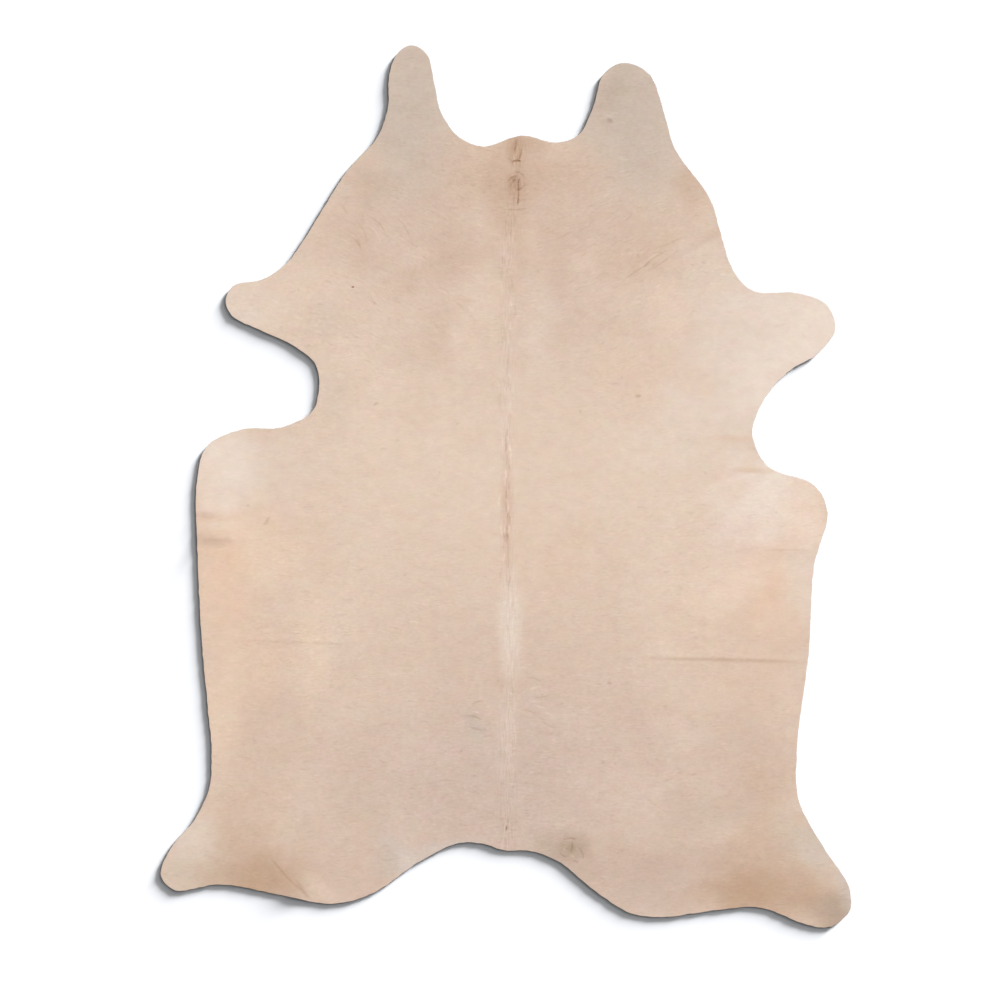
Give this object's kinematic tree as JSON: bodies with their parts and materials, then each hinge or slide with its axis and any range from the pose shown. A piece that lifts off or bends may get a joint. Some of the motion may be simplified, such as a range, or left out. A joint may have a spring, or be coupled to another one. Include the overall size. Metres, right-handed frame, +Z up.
{
  "type": "hair-on leather hide",
  "caption": "Whole cowhide with its short pale hair on, laid flat, with neck flaps, fore and hind shanks, belly corners and a few soft folds.",
  "frame": {"origin": "middle of the box of the whole hide, at the height of the surface it lies on", "axes": "+X to the hide's right as seen from above with the neck away, +Y along the back towards the neck, +Z up, out of the hair side"},
  "size_m": [1.8, 2.3, 0.0102],
  "materials": {
    "pale_short_hair": "short cream hair lying flat, dull with a soft sheen; suede on the flesh side"
  },
  "bodies": {
    "root": {"hide": "pale_short_hair"}
  },
  "joints": []
}
